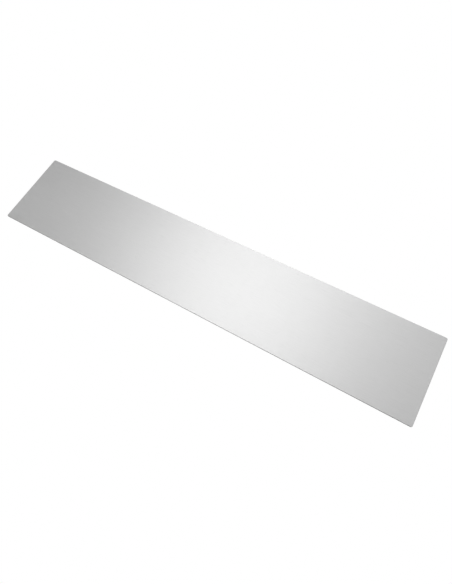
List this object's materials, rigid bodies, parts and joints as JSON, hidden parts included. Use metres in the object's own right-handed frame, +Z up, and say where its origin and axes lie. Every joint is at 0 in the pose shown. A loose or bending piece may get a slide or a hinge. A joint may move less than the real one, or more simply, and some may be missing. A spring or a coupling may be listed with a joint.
{
  "type": "door kick plate",
  "caption": "Flat brushed stainless door kick plate with no screw holes, held to the foot of a door by foam tape strips on its back under peel-off liners.",
  "frame": {"origin": "middle of the plane that meets the door: the outer face of the release liner on the centre strip", "axes": "+X along the plate's length, +Z up the door, +Y into the door; the show face looks along -Y"},
  "size_m": [0.8128, 0.0028, 0.1524],
  "materials": {
    "face_plate": "satin, brushed along the length",
    "foam_tape": "matt closed-cell foam",
    "release_liner": "thin glossy film"
  },
  "bodies": {
    "root": {"face_plate": "face_plate", "tape_upper_rail": "foam_tape", "tape_lower_rail": "foam_tape", "tape_left_end": "foam_tape", "tape_left_middle": "foam_tape", "tape_centre": "foam_tape", "tape_right_middle": "foam_tape", "tape_right_end": "foam_tape", "liner_upper_rail": "release_liner", "liner_lower_rail": "release_liner", "liner_left_end": "release_liner", "liner_left_middle": "release_liner", "liner_centre": "release_liner", "liner_right_middle": "release_liner", "liner_right_end": "release_liner"}
  },
  "joints": []
}
